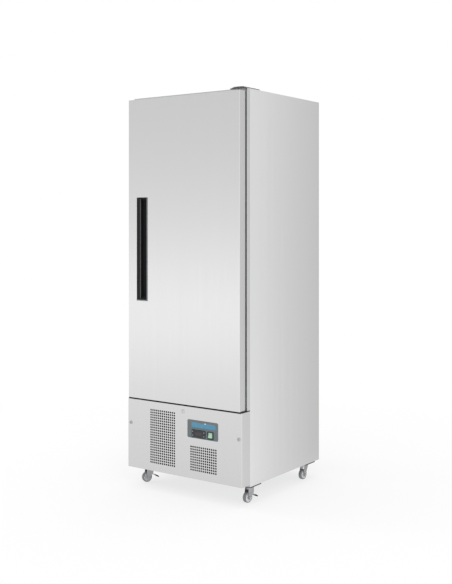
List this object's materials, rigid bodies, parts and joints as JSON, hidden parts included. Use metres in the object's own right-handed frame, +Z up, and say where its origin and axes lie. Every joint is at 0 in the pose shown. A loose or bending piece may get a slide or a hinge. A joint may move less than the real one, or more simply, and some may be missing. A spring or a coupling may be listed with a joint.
{
  "type": "commercial upright freezer",
  "caption": "Upright stainless steel commercial freezer with an insulated door, recessed handle, vented base panel with controls, wire shelves, cooling unit and braked castors.",
  "frame": {"origin": "on the floor, under the middle of the cabinet", "axes": "+Z up; the door faces -Y and is hinged on the +X side"},
  "size_m": [0.68, 0.7024, 1.917],
  "materials": {
    "brushed_stainless": "fine brushed stainless steel",
    "galvanised": "galvanised sheet",
    "bright_stainless": "plain stainless steel",
    "foam": "rigid foam",
    "liner_plastic": "smooth white",
    "black_plastic": "fine grained",
    "grey_plastic": "satin dark grey",
    "key_plastic": "satin grey",
    "rocker_green": "clear green over a lamp",
    "overlay": "printed film",
    "gasket_rubber": "soft grey",
    "black_rubber": "matt",
    "zinc_steel": "bright zinc",
    "wheel_polymer": "moulded grey",
    "chromed": "polished",
    "shelf_wire": "plastic coated wire",
    "fin_aluminium": "mill finish",
    "compressor_black": "satin black",
    "copper": "bare copper",
    "bush_plastic": "self-lubricating nylon"
  },
  "bodies": {
    "cabinet": {"left_side_panel": "brushed_stainless", "right_side_panel": "brushed_stainless", "top_panel": "brushed_stainless", "rear_panel": "galvanised", "bottom_panel": "galvanised", "cabinet_foam": "foam", "inner_liner": "bright_stainless", "front_frame": "bright_stainless", "lower_front_panel": "brushed_stainless", "fixing_screws": "zinc_steel", "lock_body": "chromed", "control_overlay": "overlay", "controller_body": "grey_plastic", "switch_housing": "grey_plastic", "top_hinge_bracket": "zinc_steel", "bottom_hinge_bracket": "zinc_steel", "castor_plates": "zinc_steel", "shelf_pilasters": "bright_stainless", "shelf_clips": "zinc_steel", "evaporator_cover": "bright_stainless", "evaporator_coil": "fin_aluminium", "evaporator_fan_motor": "black_plastic", "base_chassis": "galvanised", "compressor": "compressor_black", "compressor_mounts": "black_rubber", "condenser_coil": "fin_aluminium", "condenser_fan_shroud": "galvanised", "condenser_fan_motor": "black_plastic", "pipework": "copper", "condensate_tray": "bright_stainless", "rear_vent_panel": "galvanised", "cable_gland": "black_plastic"},
    "door": {"door_skin": "brushed_stainless", "door_foam": "foam", "door_liner": "bright_stainless", "door_gasket": "gasket_rubber", "handle_recess": "black_plastic", "hinge_bushes": "bush_plastic"},
    "lock": {"lock_barrel": "chromed", "lock_cam": "zinc_steel"},
    "rocker": {"switch_rocker": "rocker_green"},
    "evaporator_fan": {"evaporator_fan_blade": "black_plastic"},
    "condenser_fan": {"condenser_fan_blade": "fin_aluminium"},
    "button_1": {"controller_button_1": "key_plastic"},
    "button_2": {"controller_button_2": "key_plastic"},
    "button_3": {"controller_button_3": "key_plastic"},
    "button_4": {"controller_button_4": "key_plastic"},
    "wire_shelf_1": {"wire_shelf_1": "shelf_wire"},
    "wire_shelf_2": {"wire_shelf_2": "shelf_wire"},
    "wire_shelf_3": {"wire_shelf_3": "shelf_wire"},
    "fork_front_left": {"castor_fork_front_left": "zinc_steel"},
    "wheel_front_left": {"castor_wheel_front_left": "wheel_polymer"},
    "pedal_front_left": {"brake_pedal_front_left": "zinc_steel"},
    "fork_front_right": {"castor_fork_front_right": "zinc_steel"},
    "wheel_front_right": {"castor_wheel_front_right": "wheel_polymer"},
    "pedal_front_right": {"brake_pedal_front_right": "zinc_steel"},
    "fork_rear_left": {"castor_fork_rear_left": "zinc_steel"},
    "wheel_rear_left": {"castor_wheel_rear_left": "wheel_polymer"},
    "fork_rear_right": {"castor_fork_rear_right": "zinc_steel"},
    "wheel_rear_right": {"castor_wheel_rear_right": "wheel_polymer"}
  },
  "joints": [
    {"name": "door_hinge", "type": "hinge", "parent": "cabinet", "child": "door", "pos_m": [0.318, -0.328, 1.1665], "axis": [0, 0, 1], "range_deg": [0, 120]},
    {"name": "lock_turn", "type": "hinge", "parent": "cabinet", "child": "lock", "pos_m": [0, -0.344, 0.402], "axis": [0, -1, 0], "range_deg": [0, 90]},
    {"name": "power_rocker", "type": "hinge", "parent": "cabinet", "child": "rocker", "pos_m": [0.163, -0.3406, 0.309], "axis": [1, 0, 0], "range_deg": [0, 20]},
    {"name": "button_1_press", "type": "slide", "parent": "cabinet", "child": "button_1", "axis": [0, 1, 0], "range_m": [0, 0.0008], "stiffness_N_per_m": 200},
    {"name": "button_2_press", "type": "slide", "parent": "cabinet", "child": "button_2", "axis": [0, 1, 0], "range_m": [0, 0.0008], "stiffness_N_per_m": 200},
    {"name": "button_3_press", "type": "slide", "parent": "cabinet", "child": "button_3", "axis": [0, 1, 0], "range_m": [0, 0.0008], "stiffness_N_per_m": 200},
    {"name": "button_4_press", "type": "slide", "parent": "cabinet", "child": "button_4", "axis": [0, 1, 0], "range_m": [0, 0.0008], "stiffness_N_per_m": 200},
    {"name": "wire_shelf_1_lift", "type": "slide", "parent": "cabinet", "child": "wire_shelf_1", "axis": [0, 0, 1], "range_m": [0, 0.02]},
    {"name": "wire_shelf_2_lift", "type": "slide", "parent": "cabinet", "child": "wire_shelf_2", "axis": [0, 0, 1], "range_m": [0, 0.02]},
    {"name": "wire_shelf_3_lift", "type": "slide", "parent": "cabinet", "child": "wire_shelf_3", "axis": [0, 0, 1], "range_m": [0, 0.02]},
    {"name": "evaporator_fan_spin", "type": "hinge", "parent": "cabinet", "child": "evaporator_fan", "pos_m": [0, -0.066, 1.773], "axis": [0, 1, 0], "continuous": true},
    {"name": "condenser_fan_spin", "type": "hinge", "parent": "cabinet", "child": "condenser_fan", "pos_m": [-0.146, -0.192, 0.246], "axis": [0, 1, 0], "continuous": true},
    {"name": "swivel_front_left", "type": "hinge", "parent": "cabinet", "child": "fork_front_left", "pos_m": [-0.302, -0.226, 0.0765], "axis": [0, 0, 1], "continuous": true},
    {"name": "roll_front_left", "type": "hinge", "parent": "fork_front_left", "child": "wheel_front_left", "pos_m": [-0.3081, -0.2397, 0.025], "axis": [-0.9135, 0.4067, 0], "continuous": true},
    {"name": "brake_front_left", "type": "hinge", "parent": "fork_front_left", "child": "pedal_front_left", "pos_m": [-0.29834, -0.21778, 0.046], "axis": [-0.9135, 0.4067, 0], "range_deg": [0, 15]},
    {"name": "swivel_front_right", "type": "hinge", "parent": "cabinet", "child": "fork_front_right", "pos_m": [0.302, -0.226, 0.0765], "axis": [0, 0, 1], "continuous": true},
    {"name": "roll_front_right", "type": "hinge", "parent": "fork_front_right", "child": "wheel_front_right", "pos_m": [0.29991, -0.24085, 0.025], "axis": [-0.9903, 0.1392, 0], "continuous": true},
    {"name": "brake_front_right", "type": "hinge", "parent": "fork_front_right", "child": "pedal_front_right", "pos_m": [0.30325, -0.21709, 0.046], "axis": [-0.9903, 0.1392, 0], "range_deg": [0, 15]},
    {"name": "swivel_rear_left", "type": "hinge", "parent": "cabinet", "child": "fork_rear_left", "pos_m": [-0.302, 0.268, 0.0765], "axis": [0, 0, 1], "continuous": true},
    {"name": "roll_rear_left", "type": "hinge", "parent": "fork_rear_left", "child": "wheel_rear_left", "pos_m": [-0.3095, 0.25501, 0.025], "axis": [-0.866, 0.5, 0], "continuous": true},
    {"name": "swivel_rear_right", "type": "hinge", "parent": "cabinet", "child": "fork_rear_right", "pos_m": [0.302, 0.268, 0.0765], "axis": [0, 0, 1], "continuous": true},
    {"name": "roll_rear_right", "type": "hinge", "parent": "fork_rear_right", "child": "wheel_rear_right", "pos_m": [0.30095, 0.25304, 0.025], "axis": [-0.9976, 0.0698, 0], "continuous": true}
  ]
}
